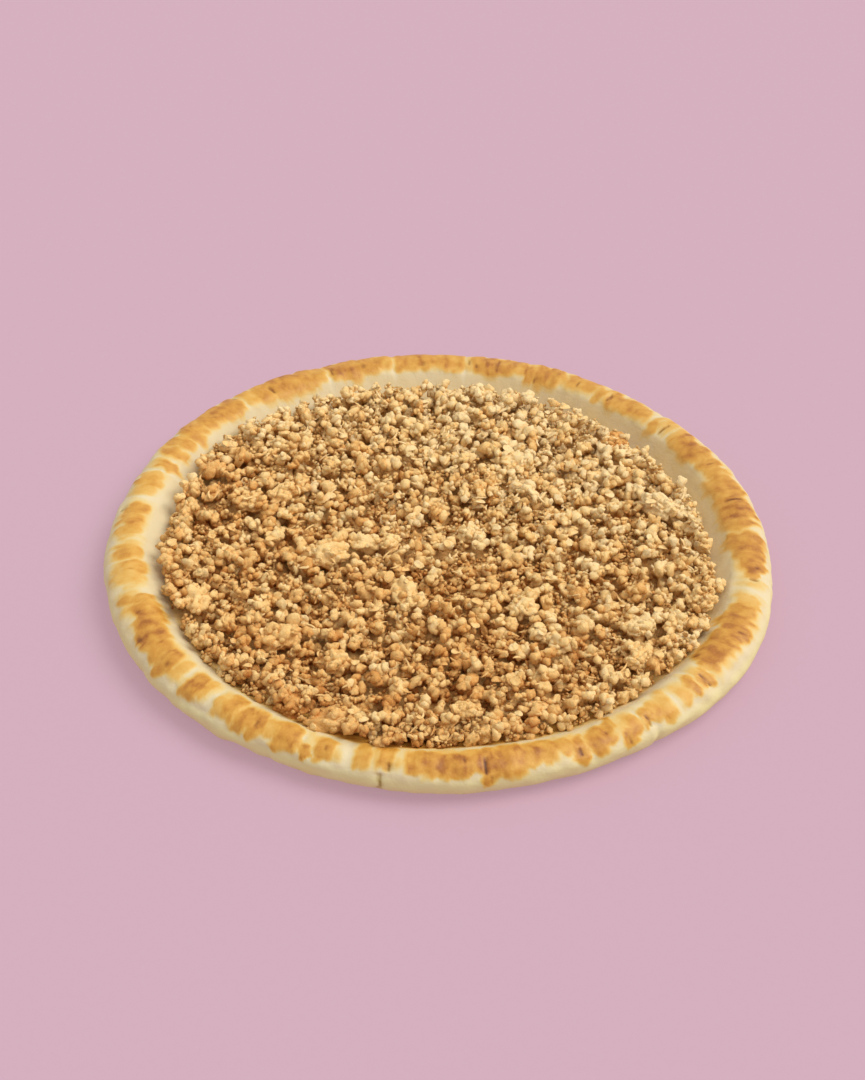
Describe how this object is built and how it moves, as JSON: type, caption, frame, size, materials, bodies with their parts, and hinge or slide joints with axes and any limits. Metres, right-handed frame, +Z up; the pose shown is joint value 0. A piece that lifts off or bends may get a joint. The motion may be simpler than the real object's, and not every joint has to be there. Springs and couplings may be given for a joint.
{
  "type": "apple crumble",
  "caption": "Round open dough case with a thick rolled rim, filled level with a heap of baked crumble topping in nubbly lumps.",
  "frame": {"origin": "under the middle of the case's outline, on the surface that it rests on", "axes": "+Z up, through the crumble; +X to the right and +Y away in the picture's view"},
  "size_m": [0.3012, 0.2994, 0.0236],
  "materials": {
    "baked_dough": "matte baked dough, golden brown on the roll and cream on the walls",
    "crumble_topping": "matte baked crumble, tan with brown gaps"
  },
  "bodies": {
    "root": {"dough_case": "baked_dough", "crumble": "crumble_topping"}
  },
  "joints": []
}
